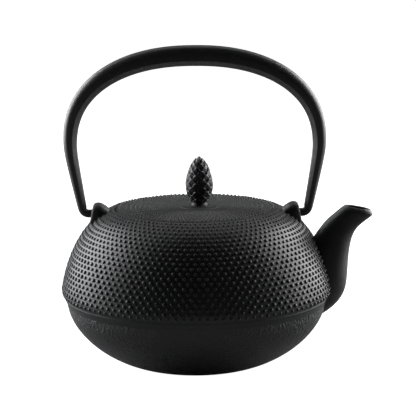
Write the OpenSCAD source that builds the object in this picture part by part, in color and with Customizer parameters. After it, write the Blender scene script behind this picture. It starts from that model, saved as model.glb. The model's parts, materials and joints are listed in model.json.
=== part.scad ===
// Cast iron teapot with a studded shoulder, a swinging bail and a lift-out strainer.
// Millimetres. +Z is up and +X points to the spout. The origin is the centre of the flat base.

/* [Body] */
// Diameter of the casting at its waist, between the studs
body_d = 178.8; // [160:0.2:200]
// Height of the waist above the base
waist_z = 51.3; // [46:0.1:56]
// Rise of the shoulder curve above the waist, to where it would close
shoulder_rise = 56.6; // [50:0.1:62]
// How square the shoulder curve is towards its side
side_power = 4.9; // [4:0.1:6]
// How square the shoulder curve is towards its top
top_power = 1.32; // [1.1:0.01:1.6]
// Diameter of the plain bowl where it meets the band under the waist
bowl_d = 172.6; // [160:0.2:176]
// Height of that edge above the base
bowl_z = 42.6; // [38:0.1:46]
// How full the bowl curve is
bowl_power = 1.68; // [1.4:0.01:2.2]
// Diameter of the flat base
base_d = 62; // [50:1:80]
// Thickness of the casting
wall = 4; // [3:0.1:5.5]

/* [Mouth and lid] */
// Diameter of the opening that the lid lies in
mouth_d = 107.6; // [96:0.2:116]
// Height of the ledge inside the mouth
ledge_z = 98.6; // [96:0.1:100]
// Diameter of the throat inside the ledge
throat_d = 96; // [90:1:98]
// Diameter of the lid
lid_d = 106.4; // [95:0.2:115]
// Height of the lid's edge above the base
lid_edge_z = 104.3; // [103:0.1:105]
// Height of the middle of the lid above the base
lid_top_z = 106.2; // [105:0.1:108]
// Diameter of the round flat that carries the knob's seat
lid_flat_d = 27; // [24:0.5:32]

/* [Knob] */
// Height of the knob's tip above the base
knob_top_z = 138.6; // [130:0.1:142]
// Height of the widest place of the knob above the base
knob_wide_z = 120.6; // [118:0.1:124]
// Diameter of the knob at its widest place
knob_d = 18.4; // [15:0.1:22]
// Diameter of the knob's neck
neck_d = 9; // [8:0.1:11]
// Diameter of the knob's foot
foot_d = 12.4; // [11:0.1:14]
// Diameter of the stud that holds the knob
stud_d = 5; // [4:0.5:6]

/* [Bail] */
// Height of the pins' common axis above the base
pin_z = 102; // [101:0.1:104]
// Diameter of the pins at the ends of the bail
pin_d = 5.6; // [5:0.1:6]
// Gap between a pin and its hole, on the radius
pin_gap = 0.06; // [0.02:0.01:0.1]
// Height of the middle of the grip above the base
bail_top_z = 206.6; // [195:0.1:215]
// Height at which the bail is widest
bail_wide_z = 149; // [140:1:160]
// Half the bail's width there, to the middle of the bar
bail_half_w = 82.3; // [80:0.1:90]
// Thickness of the grip, seen from the front
grip_h = 13.4; // [10:0.1:16]
// Depth of the grip, seen from the end
grip_w = 15; // [10:0.1:18]

/* [Infuser] */
// Outer diameter of the infuser's collar
collar_d = 94.6; // [88:0.2:95]
// Thickness of the infuser's sheet
sheet = 0.6; // [0.5:0.1:1]
// Height of the infuser's floor above the base
infuser_z = 36; // [30:1:60]

/* [Hidden] */
$fn = 96;
slop = 0.5;                                  // how far a cut runs past what it cuts
curve_steps = 18;                            // straight stretches in one quarter curve
body_r = body_d / 2;
bowl_r = bowl_d / 2;
base_r = base_d / 2;
mouth_r = mouth_d / 2;
mouth_z = shoulder_z(mouth_r);

// Spout. Each ring is a tilted ellipse across the spout, from its back point to its front point:
// [back x, back z, front x, front z, half width]
spout_rings = [
    [98.8, 106.2, 116.4, 102.8, 5.8],
    [97.0, 105.0, 117.4, 100.8, 6.6],
    [94.8, 103.2, 116.6, 98.2, 7.0],
    [91.2, 100.4, 112.0, 94.8, 7.2],
    [87.6, 97.0, 107.2, 90.4, 7.8],
    [84.4, 93.0, 104.2, 85.4, 8.8],
    [81.2, 89.0, 102.6, 79.4, 10.2],
    [77.0, 84.0, 101.8, 71.0, 12.0],
    [74.0, 77.0, 101.0, 62.0, 13.4],
    [72.0, 69.0, 100.0, 53.6, 14.4],
    [70.0, 61.0, 97.8, 46.4, 15.0],
    [69.0, 54.0, 94.2, 40.8, 15.0],
    [69.0, 48.0, 88.8, 36.4, 14.2],
    [67.0, 43.0, 82.6, 32.4, 12.6],
    [66.0, 40.0, 77.0, 29.0, 11.0]];
bore_rings = [
    [102.0, 108.6, 115.6, 106.0, 4.8],
    [100.6, 105.0, 113.8, 102.0, 4.4],
    [97.8, 102.2, 112.8, 98.4, 4.4],
    [94.2, 99.4, 108.4, 95.6, 4.6],
    [90.9, 95.9, 103.8, 91.5, 5.0],
    [88.0, 91.8, 100.6, 86.9, 5.6],
    [85.2, 87.6, 98.8, 81.2, 6.4],
    [82.0, 82.2, 97.4, 73.6, 7.4],
    [79.6, 75.0, 95.6, 65.4, 8.4],
    [76.0, 67.4, 91.6, 58.0, 8.6],
    [70.0, 60.6, 81.6, 53.2, 8.0]];
spout_sides = 24;

// Ears
ear_face_x = 69.3;                           // outer face, at the height of the pins
ear_lean = 0.2;                              // how far the face moves out for each millimetre down
ear_r = 7.4;                                 // radius of the ear's round top, about the pins' axis
ear_skirt = 1.6;                             // how much wider the ear's root is, on each side
bore_end_x = 62.6;                           // bottom of the pin's hole
pin_end_x = 63.2;                            // tip of the pin

// Bail
leg_lean = 0.2;                              // how far a leg comes in for each millimetre down
leg_bend = 8;                                // how softly the leg turns into that lean
elbow_r = 4.2;                               // radius of the elbow, to the middle of the bar
elbow_z = 106.2;                             // height at which the elbow begins
bail_power = 2.24;                           // how square the arch is
bail_sides = 16;
arch_steps = 14;
leg_steps = 5;
elbow_steps = 4;

// Knob and what holds it
seat_d = 26;
seat_h = 1;
knob_foot_z = lid_top_z + seat_h;
neck_z = 109.9;
stud_top_z = 117;
stud_low_z = 95.6;
lid_under_z = 102;
washer_h = 1;
washer_d = 12;
nut_h = 4;
nut_across = 8;

// Infuser
rim_d = 105;
rim_h = 0.8;
collar_low_z = 86;
infuser_low_d = 84;
foot_ring_h = 5;

// Height of the shoulder's surface at radius r: a quarter of a superellipse
function shoulder_z(r) =
    waist_z + shoulder_rise * pow(1 - pow(r / body_r, side_power), 1 / top_power);

// Points of a shoulder curve from radius r0 down to its widest radius r1 at height z0
function shoulder_line(r0, r1, z0, rise) =
    let (a0 = asin(pow(r0 / r1, side_power / 2)))
    [for (i = [0:curve_steps])
        let (a = a0 + (90 - a0) * i / curve_steps)
        [r1 * pow(sin(a), 2 / side_power), z0 + rise * pow(cos(a), 2 / top_power)]];

// Points of a bowl curve from its edge at radius r1 and height z1 in to radius r0 and height z0
function bowl_line(r1, z1, r0, z0) =
    [for (i = [0:curve_steps])
        let (a = 90 * i / curve_steps)
        [r0 + (r1 - r0) * pow(cos(a), 2 / bowl_power), z1 - (z1 - z0) * pow(sin(a), 2 / bowl_power)]];

// A line of points turned about the Z axis, closed to the axis at both ends
module turned(line) {
    low = line[len(line) - 1][1];
    high = line[0][1];
    rotate_extrude() polygon(concat([[0, low], [0, high]], line));
}

// A ring of rectangular section
module ring(r0, r1, z0, z1) {
    rotate_extrude() translate([r0, z0]) square([r1 - r0, z1 - z0]);
}

// The outside of the casting as one solid body without ears or spout
module body_outside() {
    turned(concat(shoulder_line(mouth_r, body_r, waist_z, shoulder_rise),
                  bowl_line(bowl_r, bowl_z, base_r, 0)));
}

// The hollow of the casting under the ledge
module body_inside() {
    turned(concat(shoulder_line(mouth_r + wall, body_r - wall, waist_z, shoulder_rise - wall),
                  bowl_line(bowl_r - wall, bowl_z + wall / 2, base_r - 1, wall)));
}

// A closed loft through tilted elliptical rings, in order from the lip to the root
module loft(rings, sides) {
    points = [for (q = rings, i = [0:sides - 1])
        let (a = 360 * i / sides,
             middle = [(q[0] + q[2]) / 2, (q[1] + q[3]) / 2],
             half = [(q[2] - q[0]) / 2, (q[3] - q[1]) / 2])
        [middle[0] + half[0] * cos(a), q[4] * sin(a), middle[1] + half[1] * cos(a)]];
    last = (len(rings) - 1) * sides;
    walls = [for (k = [0:len(rings) - 2], i = [0:sides - 1], half = [0, 1])
        let (j = (i + 1) % sides, low = k * sides, high = low + sides)
        half == 0 ? [low + i, low + j, high + j] : [low + i, high + j, high + i]];
    polyhedron(points, concat(walls, [[for (i = [sides - 1:-1:0]) i],
                                      [for (i = [0:sides - 1]) last + i]]));
}

// The hole for the pin on the side that s names: -1 for the left, 1 for the right
module pin_hole(s) {
    translate([s * bore_end_x, 0, pin_z]) rotate([0, s * 90, 0])
        cylinder(h = 12, r = pin_d / 2 + pin_gap);
}

// The casting in one piece: skin, wall, ledge, throat, spout's bore and pin holes
module pot_casting() difference() {
    union() {
        difference() {
            body_outside();
            body_inside();
        }
        ring(throat_d / 2, mouth_r + wall + 1, ledge_z - wall, ledge_z);
    }
    ring(0, mouth_r, ledge_z, mouth_z + slop);
    ring(0, throat_d / 2, ledge_z - wall - slop, ledge_z + slop);
    loft(bore_rings, spout_sides);
    for (s = [-1, 1]) pin_hole(s);
}

// The casting is kept as two nodes that meet at its parting line
module pot_bowl() color([0.1, 0.1, 0.11]) intersection() {
    pot_casting();
    translate([-body_d, -body_d, -slop]) cube([2 * body_d, 2 * body_d, bowl_z + slop]);
}

module pot_shoulder() color([0.12, 0.12, 0.13]) intersection() {
    pot_casting();
    translate([-body_d, -body_d, bowl_z]) cube([2 * body_d, 2 * body_d, mouth_z]);
}

module spout() color([0.1, 0.1, 0.11]) difference() {
    loft(spout_rings, spout_sides);
    loft(bore_rings, spout_sides);
    body_outside();
}

// A lug on the shoulder. Seen from the front it is a buttress with an upright outer face, and seen
// from the end it is a tab with a round top.
module ear(s) color([0.14, 0.14, 0.15]) difference() {
    mirror([s < 0 ? 1 : 0, 0, 0]) intersection() {
        rotate([90, 0, 0]) linear_extrude(height = 24, center = true)
            polygon([[56, shoulder_z(56) - 2], [57.2, 104.6], [59.6, 106.7], [62.4, 108.6],
                     [64.8, 109.4], [66.8, 109], [ear_face_x + ear_lean * (pin_z - 107.6), 107.6],
                     [ear_face_x + ear_lean * (pin_z - 90), 90]]);
        translate([50, 0, pin_z]) rotate([90, 0, 90]) linear_extrude(height = 30)
            polygon(concat([for (i = [0:12]) ear_r * [cos(15 * i), sin(15 * i)]],
                           [[-ear_r - ear_skirt, -14], [ear_r + ear_skirt, -14]]));
    }
    body_outside();
    pin_hole(s);
}

// Middle line of the bail on the +X side, as [x, z], from the crown to the end of the elbow
function arch_point(a) = [bail_half_w * pow(sin(a), 2 / bail_power),
                          bail_wide_z + (bail_top_z - bail_wide_z) * pow(cos(a), 2 / bail_power)];
function leg_x(z) =
    bail_half_w - leg_lean * (sqrt(pow(bail_wide_z - z, 2) + leg_bend * leg_bend) - leg_bend);
bail_line = concat(
    [for (i = [0:arch_steps]) arch_point(90 * i / arch_steps)],
    [for (i = [1:leg_steps])
        let (z = bail_wide_z + (elbow_z - bail_wide_z) * i / leg_steps) [leg_x(z), z]],
    [for (i = [1:elbow_steps])
        let (a = 90 * i / elbow_steps)
        [leg_x(elbow_z) - elbow_r * (1 - cos(a)), elbow_z - elbow_r * sin(a)]]);

// Half thickness of the bar across its bend and half depth of it, a share t of the way from the
// crown to the elbow: thick at the grip, slim in the legs, as thick as a pin in the elbow
function bar_half(t) =
    let (low = pin_d / 2, slim = pow(cos(min(t / 0.86, 1) * 90), 0.85))
    [low + (grip_h / 2 - low) * slim, low + (grip_w / 2 - low) * slim];

// One ring of the bail across its middle line at point k. Mirrored rings have s = -1.
function bail_ring(k, s) =
    let (n = len(bail_line) - 1,
         p = bail_line[k],
         before = k == 0 ? [-bail_line[1][0], bail_line[1][1]] : bail_line[k - 1],
         after = k == n ? [p[0] - 1, p[1]] : bail_line[k + 1],
         d = (after - before) / norm(after - before),
         out = [-d[1], d[0]],
         h = bar_half(k / n))
    [for (i = [0:bail_sides - 1])
        let (a = 360 * i / bail_sides)
        [s * (p[0] + out[0] * h[0] * cos(a)), h[1] * sin(a), p[1] + out[1] * h[0] * cos(a)]];

module bail_handle() color([0.11, 0.11, 0.12]) {
    n = len(bail_line) - 1;
    rings = concat([for (k = [n:-1:1]) bail_ring(k, -1)], [for (k = [0:n]) bail_ring(k, 1)]);
    points = [for (q = rings, p = q) p];
    last = (len(rings) - 1) * bail_sides;
    walls = [for (k = [0:len(rings) - 2], i = [0:bail_sides - 1], half = [0, 1])
        let (j = (i + 1) % bail_sides, low = k * bail_sides, high = low + bail_sides)
        half == 0 ? [low + i, low + j, high + j] : [low + i, high + j, high + i]];
    polyhedron(points, concat(walls, [[for (i = [bail_sides - 1:-1:0]) i],
                                      [for (i = [0:bail_sides - 1]) last + i]]));
    for (s = [-1, 1])
        translate([s * pin_end_x, 0, pin_z]) rotate([0, s * 90, 0])
            cylinder(h = leg_x(elbow_z) - pin_end_x - 1, r = pin_d / 2);
}

// A shallow dome with a flat in its middle, hollow below, and a skirt that drops into the infuser
module lid() color([0.16, 0.16, 0.17]) difference() {
    dome = [for (i = [0:10])
        let (a = 90 * i / 10, flat = lid_flat_d / 2)
        [flat + (lid_d / 2 - flat) * sin(a), lid_edge_z + (lid_top_z - lid_edge_z) * cos(a)]];
    skirt_r = collar_d / 2 - sheet - 0.7;
    union() {
        turned(concat(dome, [[lid_d / 2, ledge_z + rim_h]]));
        ring(skirt_r - 3, skirt_r, 93, ledge_z + rim_h);
    }
    ring(0, skirt_r - 3, 90, lid_under_z);
    cylinder(h = 200, r = stud_d / 2 + 0.1);
}

module knob_seat() color([0.15, 0.15, 0.16]) difference() {
    rise = foot_d / 2 + 0.6;
    turned([[rise, knob_foot_z], [rise + 1.4, knob_foot_z - 0.45], [seat_d / 2 - 2, knob_foot_z - 0.5],
            [seat_d / 2 - 0.8, knob_foot_z - 0.4], [seat_d / 2, lid_top_z]]);
    cylinder(h = 200, r = stud_d / 2 + 0.1);
}

module knob() color([0.12, 0.11, 0.14]) difference() {
    low = [for (i = [0:8])
        let (a = 90 * i / 8)
        [neck_d / 2 + (knob_d / 2 - neck_d / 2) * sin(a), knob_wide_z - (knob_wide_z - neck_z) * cos(a)]];
    high = [for (i = [1:12])
        let (a = 90 * i / 12)
        [knob_d / 2 * pow(cos(a), 1.06), knob_wide_z + (knob_top_z - knob_wide_z) * sin(a)]];
    rotate_extrude() polygon(concat([[0, knob_foot_z], [foot_d / 2, knob_foot_z],
                                     [foot_d / 2 - 0.3, knob_foot_z + 0.9], [neck_d / 2 + 0.3, neck_z - 0.8]],
                                    low, high));
    translate([0, 0, knob_foot_z - slop]) cylinder(h = stud_top_z - knob_foot_z + 2 * slop, r = stud_d / 2 + 0.05);
}

module knob_stud() color([0.7, 0.7, 0.72]) {
    translate([0, 0, stud_low_z]) cylinder(h = stud_top_z - stud_low_z, r = stud_d / 2);
}

module knob_washer() color([0.72, 0.72, 0.74]) {
    ring(stud_d / 2 + 0.1, washer_d / 2, lid_under_z - washer_h, lid_under_z);
}

module knob_nut() color([0.68, 0.68, 0.7]) difference() {
    translate([0, 0, lid_under_z - washer_h - nut_h]) cylinder(h = nut_h, d = nut_across / cos(30), $fn = 6);
    cylinder(h = 200, r = stud_d / 2 + 0.05);
}

// Flat rim that lies on the ledge, and the plain band that hangs in the throat
module infuser_collar() color([0.78, 0.78, 0.8]) {
    ring(collar_d / 2 - sheet, rim_d / 2, ledge_z, ledge_z + rim_h);
    ring(collar_d / 2 - sheet, collar_d / 2, collar_low_z, ledge_z);
}

module infuser_wall() color([0.74, 0.74, 0.76]) rotate_extrude()
    polygon([[collar_d / 2 - sheet, collar_low_z], [collar_d / 2, collar_low_z],
             [infuser_low_d / 2, infuser_z + foot_ring_h], [infuser_low_d / 2 - sheet, infuser_z + foot_ring_h]]);

module infuser_floor() color([0.72, 0.72, 0.74]) {
    translate([0, 0, infuser_z + sheet]) cylinder(h = sheet, r = infuser_low_d / 2 - sheet);
}

// Angle ring that carries the floor's edge and the wall's lower edge
module infuser_foot_ring() color([0.8, 0.8, 0.82]) {
    ring(infuser_low_d / 2 - 4, infuser_low_d / 2, infuser_z, infuser_z + sheet);
    ring(infuser_low_d / 2 - sheet, infuser_low_d / 2, infuser_z + sheet, infuser_z + foot_ring_h);
}

pot_bowl();
pot_shoulder();
spout();
ear(-1);  // left_ear
ear(1);  // right_ear
bail_handle();
lid();
knob_seat();
knob();
knob_stud();
knob_washer();
knob_nut();
infuser_collar();
infuser_wall();
infuser_floor();
infuser_foot_ring();
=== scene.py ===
# %% [markdown]
# # A cast iron teapot, piece by piece
#
# The teapot is one heavy casting with rows of small raised studs on its shoulder, a bail that swings
# on two pins, a flush lid with a pine cone knob, and a steel strainer that hangs inside. Each piece
# below is a surface worked out with numpy and laid over the engineering model, which is loaded first
# and never moved. Sizes in this lesson are in millimetres, and one helper turns them into metres.

# %% Load the engineering model
import json
import math

import bpy
import numpy as np
from mathutils import Matrix, Vector


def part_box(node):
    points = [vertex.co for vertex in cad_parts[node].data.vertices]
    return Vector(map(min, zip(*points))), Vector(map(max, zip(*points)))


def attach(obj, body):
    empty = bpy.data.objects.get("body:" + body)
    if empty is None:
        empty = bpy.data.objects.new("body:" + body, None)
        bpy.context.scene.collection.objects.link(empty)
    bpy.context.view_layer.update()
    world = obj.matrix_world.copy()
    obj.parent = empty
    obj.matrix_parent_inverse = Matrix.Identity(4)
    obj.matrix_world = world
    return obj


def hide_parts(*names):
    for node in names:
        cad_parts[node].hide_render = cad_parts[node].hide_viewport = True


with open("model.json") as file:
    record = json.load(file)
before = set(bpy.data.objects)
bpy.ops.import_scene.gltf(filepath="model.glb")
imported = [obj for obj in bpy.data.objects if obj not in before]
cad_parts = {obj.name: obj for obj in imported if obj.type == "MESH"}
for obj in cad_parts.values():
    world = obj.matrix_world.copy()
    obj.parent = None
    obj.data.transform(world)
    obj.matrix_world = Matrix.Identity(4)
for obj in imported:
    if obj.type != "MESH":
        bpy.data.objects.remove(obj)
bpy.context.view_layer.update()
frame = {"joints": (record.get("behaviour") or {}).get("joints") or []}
MM = 0.001

# %% Sizes that the engineering model gives


def corners(node):
    """Lowest and highest corner of a CAD node, in millimetres."""
    low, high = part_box(node)
    return np.array(low) / MM, np.array(high) / MM


joints = {joint["name"]: joint for joint in frame["joints"]}
BODY_R = corners("pot_shoulder")[1][0]
LID_R = corners("lid")[1][0]
LID_TOP = corners("lid")[1][2]
KNOB_TOP = corners("knob")[1][2]
KNOB_R = corners("knob")[1][0]
PIN_Z = joints["bail_hinge"]["pos_m"][2] / MM
BAIL_TOP = corners("bail_handle")[1][2]
print(f"body radius {BODY_R:.1f}, lid radius {LID_R:.1f}, pins at {PIN_Z:.1f}, bail top {BAIL_TOP:.1f}")

# %% [markdown]
# ## Helpers for surfaces
#
# Every piece is a grid of points wrapped into a closed skin. A grid keeps the faces even, so light
# runs smoothly over them, and numpy can work out all its points at once. These helpers turn a grid
# into faces, close its ends, and hand the result to Blender.

# %% Grid faces and poles


def grid_faces(rows, cols, wrap_rows=False, wrap_cols=True):
    """Quads between neighbours of a grid: each joins (i, j), (i, j+1), (i+1, j+1) and (i+1, j)."""
    i = np.arange(rows if wrap_rows else rows - 1)
    j = np.arange(cols if wrap_cols else cols - 1)
    i, j = np.meshgrid(i, j, indexing="ij")
    i_next, j_next = (i + 1) % rows, (j + 1) % cols
    quads = [i * cols + j, i * cols + j_next, i_next * cols + j_next, i_next * cols + j]
    return np.stack(quads, -1).reshape(-1, 4)


def closed_skin(grid, start=None, end=None):
    """A grid of rings (rows, cols, 3) with a pole point at each end. A pole is the ring's middle
    unless a point is given. Returns points and faces."""
    rows, cols = grid.shape[:2]
    poles = [grid[0].mean(0) if start is None else start, grid[-1].mean(0) if end is None else end]
    points = np.concatenate([grid.reshape(-1, 3), poles])
    ring = np.arange(cols)
    first, last = rows * cols, rows * cols + 1
    cap_a = np.stack([ring * 0 + first, (ring + 1) % cols, ring], -1)
    cap_b = np.stack([ring * 0 + last, ring, (ring + 1) % cols], -1)
    cap_b[:, 1:] += (rows - 1) * cols
    return points, grid_faces(rows, cols).tolist() + cap_a.tolist() + cap_b.tolist()


# %% Rounded outlines


def rounded(corner_points, radii, steps=4, closed=True):
    """A polygon whose corners are turned into smooth arcs. At each corner the outline leaves the
    straight edge a radius early, bends along (1-t)^2 A + 2t(1-t) C + t^2 B, and joins the next
    edge. Works on (..., corners, 2) arrays and returns (..., corners * (steps + 1), 2)."""
    c = np.asarray(corner_points, float)
    before, after = np.roll(c, 1, -2) - c, np.roll(c, -1, -2) - c
    length_b = np.linalg.norm(before, axis=-1, keepdims=True)
    length_a = np.linalg.norm(after, axis=-1, keepdims=True)
    reach = np.broadcast_to(np.asarray(radii, float), c.shape[:-1])[..., None]
    trim = np.minimum(reach, 0.49 * np.minimum(length_b, length_a))
    if not closed:
        trim[..., [0, -1], :] = 0
    a, b = c + before / length_b * trim, c + after / length_a * trim
    t = np.linspace(0, 1, steps + 1)[:, None]
    arcs = (1 - t) ** 2 * a[..., None, :] + 2 * t * (1 - t) * c[..., None, :] + t**2 * b[..., None, :]
    return arcs.reshape(*c.shape[:-2], -1, 2)


def around(r, turn, z):
    """Points at radius r and height z, turned about the Z axis: x = r cos(turn), y = r sin(turn)."""
    return np.stack(np.broadcast_arrays(r * np.cos(turn), r * np.sin(turn), z), -1)


def turned(outline, sides=192, poles=False):
    """An (r, z) outline turned about the Z axis. A closed outline makes a ring; with poles, the
    outline's two ends are closed on the axis."""
    outline = np.asarray(outline, float)
    grid = around(outline[:, :1], np.linspace(0, 2 * np.pi, sides, endpoint=False), outline[:, 1:])
    if poles:
        return closed_skin(grid)
    return grid.reshape(-1, 3), grid_faces(len(outline), sides, wrap_rows=True).tolist()


def smooth_line(stations, at, where):
    """A curve through a few stations with no kink: between two stations it is the cubic whose
    second derivatives m join up with its neighbours', found by solving one linear system."""
    p, at = np.asarray(stations, float), np.asarray(at, float)
    n, gap = len(p), np.diff(at)
    system = np.eye(n)
    inner = np.arange(1, n - 1)
    system[inner, inner - 1], system[inner, inner + 1] = gap[:-1], gap[1:]
    system[inner, inner] = 2 * (gap[:-1] + gap[1:])
    slope = np.diff(p, axis=0) / gap[:, None]
    right = np.zeros_like(p)
    right[1:-1] = 6 * np.diff(slope, axis=0)
    m = np.linalg.solve(system, right)
    k = np.clip(np.searchsorted(at, where, side="right") - 1, 0, n - 2)
    g = gap[k][:, None]
    u, w = (where - at[k])[:, None], (at[k + 1] - where)[:, None]
    return ((m[k] * w**3 + m[k + 1] * u**3) / (6 * g) + (p[k] / g - m[k] * g / 6) * w
            + (p[k + 1] / g - m[k + 1] * g / 6) * u)


# %% Hand a surface to Blender


def volume_of(points, faces):
    """Six times the signed volume: the sum of a . (b x c) over the triangles of each face."""
    total = 0.0
    for size in sorted(set(map(len, faces))):
        f = np.array([face for face in faces if len(face) == size])
        for k in range(1, size - 1):
            a, b, c = points[f[:, 0]], points[f[:, k]], points[f[:, k + 1]]
            total += np.einsum("ij,ij->", a, np.cross(b, c))
    return total


def add_piece(name, surface, material, body, stands_for=(), crease=None, marks=None, zones=(),
              off=0.0):
    """Makes a mesh object from points in millimetres, with faces turned outwards, and ties it to a
    body. crease is the angle past which an edge stays sharp, marks are named values for each point,
    zones are further materials, each with a test that picks its faces by their middle, and off
    moves the piece a little along X."""
    points, faces = surface
    points = points + np.array([off, 0, 0])
    if volume_of(points, faces) < 0:
        faces = [face[::-1] for face in faces]
    mesh = bpy.data.meshes.new(name)
    mesh.from_pydata((points * MM).tolist(), [], faces)
    mesh.polygons.foreach_set("use_smooth", np.ones(len(faces), bool))
    if crease is not None:
        mesh.set_sharp_from_angle(angle=math.radians(crease))
    for label, values in (marks or {}).items():
        mesh.attributes.new(label, "FLOAT", "POINT").data.foreach_set("value", values.astype(np.float32))
    mesh.materials.append(material)
    middles = np.empty(len(faces) * 3, np.float32)
    mesh.polygons.foreach_get("center", middles)
    middles = middles.reshape(-1, 3) / MM
    chosen = np.zeros(len(faces), np.int32)
    for k, (zone_material, test) in enumerate(zones):
        mesh.materials.append(zone_material)
        chosen[test(middles)] = k + 1
    mesh.polygons.foreach_set("material_index", chosen)
    mesh.validate()
    mesh.update()
    piece = bpy.data.objects.new(name, mesh)
    bpy.context.scene.collection.objects.link(piece)
    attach(piece, body)
    if stands_for:
        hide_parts(*stands_for)
    print(f"{name}: {len(points)} points, {sum(len(f) - 2 for f in faces)} triangles")
    return piece


# %% [markdown]
# ## Finishes
#
# The pot is grey iron with a thin satin black coat baked over the sand-cast skin. Four effects are
# shared by several materials, so each one is a node group that is built once: the grain that the
# sand leaves, the uneven tone of the coat, a lighter colour on high places and edges, partly wear that
# hands leave and partly painted highlight and painted bounce light, and the fine lines of brushed
# steel. The groups read the piece's own coordinates, so a pattern stays on its piece when the piece
# moves.

# %% Node helpers


def feed(tree, node, values):
    """Gives each named input of a node a plain value, or a link where the value is a socket."""
    for key, value in values.items():
        if isinstance(value, bpy.types.NodeSocket):
            tree.links.new(value, node.inputs[key])
        else:
            node.inputs[key].default_value = value
    return node


def add_node(tree, kind, values=None, **settings):
    """A node of that kind, with its settings, and with its inputs fed."""
    node = tree.nodes.new(kind)
    for key, value in settings.items():
        setattr(node, key, value)
    return feed(tree, node, values or {})


def math_node(tree, operation, a, b=0.0, clamp=False):
    """The output of a Math node whose inputs are sockets or plain numbers."""
    return add_node(tree, "ShaderNodeMath", {0: a, 1: b}, operation=operation, use_clamp=clamp).outputs[0]


def mix_node(tree, factor, a, b):
    """The colour that lies the factor's share of the way from a to b."""
    return add_node(tree, "ShaderNodeMix", {"Factor": factor, 6: a, 7: b}, data_type="RGBA").outputs[2]


def noise_node(tree, vector, scale, detail=3.0, roughness=0.5):
    """Noise read at a vector. scale is per metre."""
    values = {"Vector": vector, "Scale": scale, "Detail": detail, "Roughness": roughness}
    return add_node(tree, "ShaderNodeTexNoise", values).outputs["Fac"]


def own_place(tree):
    """A point's place in its piece's own coordinates."""
    return add_node(tree, "ShaderNodeTexCoord").outputs["Object"]


def new_group(name, inputs, outputs):
    """An empty shader group. The kind of an input follows from its value, and an output named Color
    is a colour. Returns the group, its input sockets and its output node."""
    kinds = {1: "NodeSocketFloat", 3: "NodeSocketVector", 4: "NodeSocketColor"}
    group = bpy.data.node_groups.new(name, "ShaderNodeTree")
    for label, value in inputs.items():
        socket = group.interface.new_socket(label, in_out="INPUT", socket_type=kinds[np.size(value)])
        socket.default_value = value
    for label in outputs:
        kind = kinds[4 if label == "Color" else 1]
        group.interface.new_socket(label, in_out="OUTPUT", socket_type=kind)
    return group, group.nodes.new("NodeGroupInput").outputs, group.nodes.new("NodeGroupOutput")


# %% Sand-cast grain
cast_grain, given, out_node = new_group(
    "cast_grain", {"Grains per metre": 900.0, "Wrinkles": 0.5, "Pits": 0.3}, ["Height", "Shade"])
place = own_place(cast_grain)
fine = noise_node(cast_grain, place, given["Grains per metre"], 4.0, 0.62)
stretched = add_node(cast_grain, "ShaderNodeMapping", {"Vector": place, "Scale": (1.0, 1.0, 0.38)})
wave = noise_node(cast_grain, stretched.outputs[0], 430.0, 2.0)
wave = math_node(cast_grain, "ABSOLUTE", math_node(cast_grain, "SUBTRACT", wave, 0.5))
wave = math_node(cast_grain, "MULTIPLY", wave, given["Wrinkles"])
cells = add_node(cast_grain, "ShaderNodeTexVoronoi", {"Vector": place, "Scale": 520.0, "Randomness": 1.0})
pit = math_node(cast_grain, "SUBTRACT", 0.22, cells.outputs["Distance"], clamp=True)
pit = math_node(cast_grain, "MULTIPLY", pit, given["Pits"])
height = math_node(cast_grain, "SUBTRACT", math_node(cast_grain, "ADD", fine, wave), pit)
shade = math_node(cast_grain, "SUBTRACT", fine, pit, clamp=True)
feed(cast_grain, out_node, {"Height": height, "Shade": shade})

# %% Uneven coat
coat_tone, given, out_node = new_group(
    "coat_tone", {"Coat": (0.03, 0.03, 0.03, 1), "Tint": (0.05, 0.05, 0.05, 1), "Patches per metre": 28.0,
                  "Shade": 0.5, "Gloss": 0.45, "Gloss swing": 0.12}, ["Color", "Roughness"])
patch = noise_node(coat_tone, own_place(coat_tone), given["Patches per metre"], 5.0, 0.6)
part = math_node(coat_tone, "MULTIPLY", math_node(coat_tone, "SUBTRACT", patch, 0.35), 2.2, clamp=True)
part = math_node(coat_tone, "ADD", math_node(coat_tone, "MULTIPLY", part, 0.6),
                 math_node(coat_tone, "MULTIPLY", given["Shade"], 0.4))
swing = math_node(coat_tone, "MULTIPLY", math_node(coat_tone, "SUBTRACT", patch, 0.5), given["Gloss swing"])
feed(coat_tone, out_node, {"Color": mix_node(coat_tone, part, given["Coat"], given["Tint"]),
                           "Roughness": math_node(coat_tone, "ADD", swing, given["Gloss"])})

# %% Wear and painted light on high places and edges
edge_wear_and_painted_light, given, out_node = new_group(
    "edge_wear_and_painted_light", {"Color": (0.03, 0.03, 0.03, 1), "Worn and lit": (0.09, 0.088, 0.085, 1), "Roughness": 0.45,
                  "Amount": 0.5}, ["Color", "Roughness"])
# Where a piece's marks are high, the coat turns to the lighter colour and a smoother finish: a little of it
# is wear, most of it is painted highlight and painted bounce light.
high = add_node(edge_wear_and_painted_light, "ShaderNodeAttribute", attribute_name="wear_and_painted_light").outputs["Fac"]
broken = noise_node(edge_wear_and_painted_light, own_place(edge_wear_and_painted_light), 260.0, 4.0, 0.65)
wear_and_light_mask = math_node(edge_wear_and_painted_light, "MULTIPLY", high, math_node(edge_wear_and_painted_light, "MULTIPLY", broken, 1.6))
wear_and_light_mask = math_node(edge_wear_and_painted_light, "MULTIPLY", wear_and_light_mask, given["Amount"], clamp=True)
smoothed = math_node(edge_wear_and_painted_light, "MULTIPLY", wear_and_light_mask, 0.16)
feed(edge_wear_and_painted_light, out_node, {"Color": mix_node(edge_wear_and_painted_light, wear_and_light_mask, given["Color"], given["Worn and lit"]),
                           "Roughness": math_node(edge_wear_and_painted_light, "SUBTRACT", given["Roughness"], smoothed)})

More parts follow.
